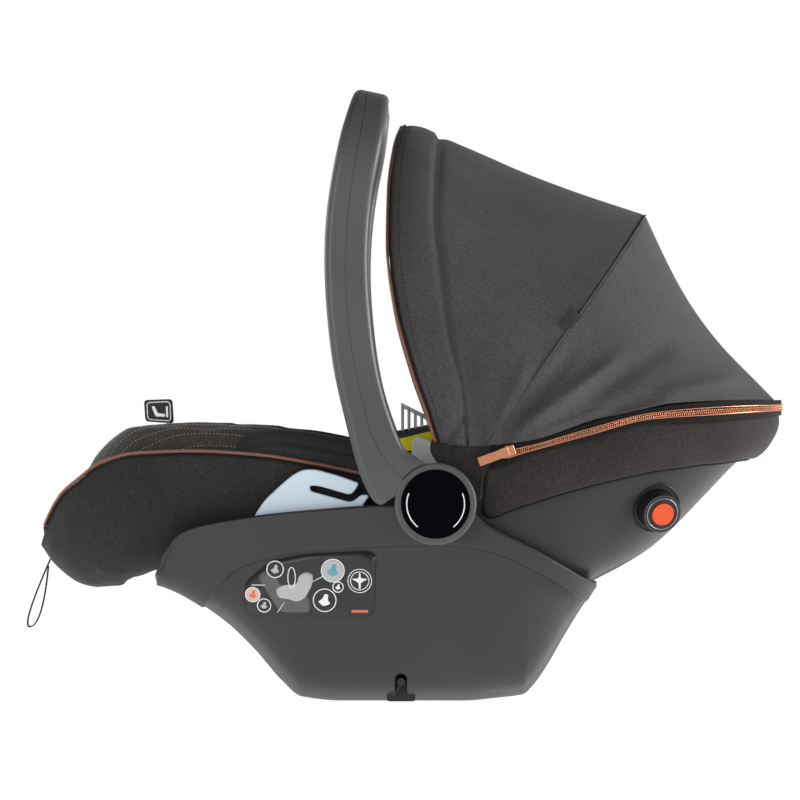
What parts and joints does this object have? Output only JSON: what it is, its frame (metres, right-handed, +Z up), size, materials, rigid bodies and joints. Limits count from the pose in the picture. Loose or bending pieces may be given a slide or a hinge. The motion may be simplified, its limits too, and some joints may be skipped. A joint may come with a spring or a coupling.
{
  "type": "infant car seat",
  "caption": "Infant carrier car seat with a tub base, reclining back shell, folding canopy, rotating carry handle, harness and belt guides",
  "frame": {"origin": "on the floor under the docking notch, in the middle plane", "axes": "+X to the head end, +Z up, Y across the seat"},
  "size_m": [0.7582, 0.447, 0.5995],
  "materials": {
    "black_plastic": "gloss",
    "blue_plastic": "satin",
    "canopy_fabric": "matte",
    "copper": "polished",
    "dark_fabric": "matte",
    "grey_rubber": "matte",
    "handle_plastic": "satin",
    "label": "matte",
    "orange_plastic": "satin",
    "piping": "matte",
    "red_plastic": "satin",
    "shell_plastic": "satin",
    "steel": "brushed",
    "stripe_fabric": "matte",
    "tag": "matte",
    "webbing": "matte"
  },
  "bodies": {
    "base": {"adjuster_housing": "black_plastic", "adjuster_strap": "webbing", "base_shell": "shell_plastic", "belt_guide_left": "blue_plastic", "belt_guide_right": "blue_plastic", "boss_screws": "steel", "buckle_housing": "black_plastic", "buckle_tongues": "steel", "crotch_pad": "dark_fabric", "crotch_strap": "webbing", "dock_bar": "steel", "foot_tag": "webbing", "handle_axle_left": "steel", "handle_axle_right": "steel", "hub_boss_left": "shell_plastic", "hub_boss_right": "shell_plastic", "leg_cover": "dark_fabric", "leg_cushion": "stripe_fabric", "leg_piping": "piping", "leg_shell": "shell_plastic", "seat_pad": "dark_fabric", "side_label_left": "label", "side_label_right": "label", "side_tab": "grey_rubber", "toe_pull_loop": "webbing", "warning_tag": "tag"},
    "handle": {"handle_front_shell": "handle_plastic", "handle_rear_shell": "handle_plastic"},
    "handle_button_left": {"handle_button_left": "black_plastic"},
    "handle_button_right": {"handle_button_right": "black_plastic"},
    "docking_latch": {"latch_hooks": "steel"},
    "release_handle": {"release_paddle": "shell_plastic"},
    "backrest": {"back_shell": "shell_plastic", "back_cover": "dark_fabric", "back_pad": "dark_fabric", "zipper_tape": "webbing", "zipper_teeth": "copper", "zip_slider": "copper", "recline_arm_left": "shell_plastic", "recline_arm_right": "shell_plastic", "pod_socket_left": "black_plastic", "pod_socket_right": "black_plastic", "shoulder_straps": "webbing", "shoulder_pads": "dark_fabric"},
    "headrest": {"headrest_shell": "shell_plastic", "headrest_pad": "dark_fabric"},
    "pod_left": {"pod_body_left": "black_plastic", "pod_cap_left": "orange_plastic"},
    "pod_right": {"pod_body_right": "black_plastic", "pod_cap_right": "orange_plastic"},
    "canopy_mid": {"mid_bow": "steel", "canopy_rear_panel": "canopy_fabric"},
    "canopy_front": {"front_bow": "steel", "canopy_front_panel": "canopy_fabric", "canopy_brim_band": "canopy_fabric", "brim_piping": "piping"},
    "zip_pull": {"zip_pull": "copper"},
    "buckle_button": {"buckle_button": "red_plastic"},
    "adjuster_button": {"adjuster_button": "red_plastic"}
  },
  "joints": [
    {"name": "handle_rotation", "type": "hinge", "parent": "base", "child": "handle", "pos_m": [0.034, 0, 0.1975], "axis": [0, 1, 0], "range_deg": [-50, 115]},
    {"name": "handle_button_press_right", "type": "slide", "parent": "handle", "child": "handle_button_right", "axis": [0, 1, 0], "range_m": [0, 0.005], "stiffness_N_per_m": 800, "springref_m": -0.002},
    {"name": "handle_button_press_left", "type": "slide", "parent": "handle", "child": "handle_button_left", "axis": [0, -1, 0], "range_m": [0, 0.005], "stiffness_N_per_m": 800, "springref_m": -0.002},
    {"name": "recline", "type": "hinge", "parent": "base", "child": "backrest", "pos_m": [0.034, 0, 0.1975], "axis": [0, 1, 0], "range_deg": [-18, 0], "deforming": ["shoulder_straps", "shoulder_pads"]},
    {"name": "headrest_slide", "type": "slide", "parent": "backrest", "child": "headrest", "axis": [0.7772, 0, 0.6292], "range_m": [0, 0.035]},
    {"name": "pod_slide_right", "type": "slide", "parent": "backrest", "child": "pod_right", "axis": [0.3015, -0.9045, -0.3015], "range_m": [-0.018, 0]},
    {"name": "pod_slide_left", "type": "slide", "parent": "backrest", "child": "pod_left", "axis": [0.3015, 0.9045, -0.3015], "range_m": [-0.018, 0]},
    {"name": "canopy_fold", "type": "hinge", "parent": "backrest", "child": "canopy_mid", "pos_m": [0.0616, 0, 0.2316], "axis": [0, 1, 0], "range_deg": [0, 22], "deforming": ["canopy_rear_panel"]},
    {"name": "canopy_front_fold", "type": "hinge", "parent": "canopy_mid", "child": "canopy_front", "pos_m": [0.0616, 0, 0.2316], "axis": [0, 1, 0], "range_deg": [0, 22], "deforming": ["canopy_front_panel", "canopy_brim_band", "brim_piping"]},
    {"name": "zip_pull_swing", "type": "hinge", "parent": "backrest", "child": "zip_pull", "pos_m": [0.104, -0.1906, 0.2475], "axis": [-0.342, 0, 0.9397], "range_deg": [0, 168]},
    {"name": "buckle_button_press", "type": "slide", "parent": "base", "child": "buckle_button", "axis": [0.5, 0, -0.866], "range_m": [0, 0.003], "stiffness_N_per_m": 600, "springref_m": -0.002},
    {"name": "adjuster_button_press", "type": "slide", "parent": "base", "child": "adjuster_button", "axis": [0, 0, -1], "range_m": [0, 0.003], "stiffness_N_per_m": 600, "springref_m": -0.002},
    {"name": "release_pull", "type": "hinge", "parent": "base", "child": "release_handle", "pos_m": [0.169, 0, 0.086], "axis": [0, 1, 0], "range_deg": [-25, 0], "stiffness_Nm_per_rad": 1.2, "springref_deg": 8.59},
    {"name": "latch_turn", "type": "hinge", "parent": "base", "child": "docking_latch", "pos_m": [0.022, 0, 0.04], "axis": [0, 1, 0], "range_deg": [0, 25]}
  ],
  "couplings": [
    {"joint": "latch_turn", "follows": "release_pull", "ratio": -1},
    {"joint": "canopy_front_fold", "follows": "canopy_fold", "ratio": 1}
  ]
}
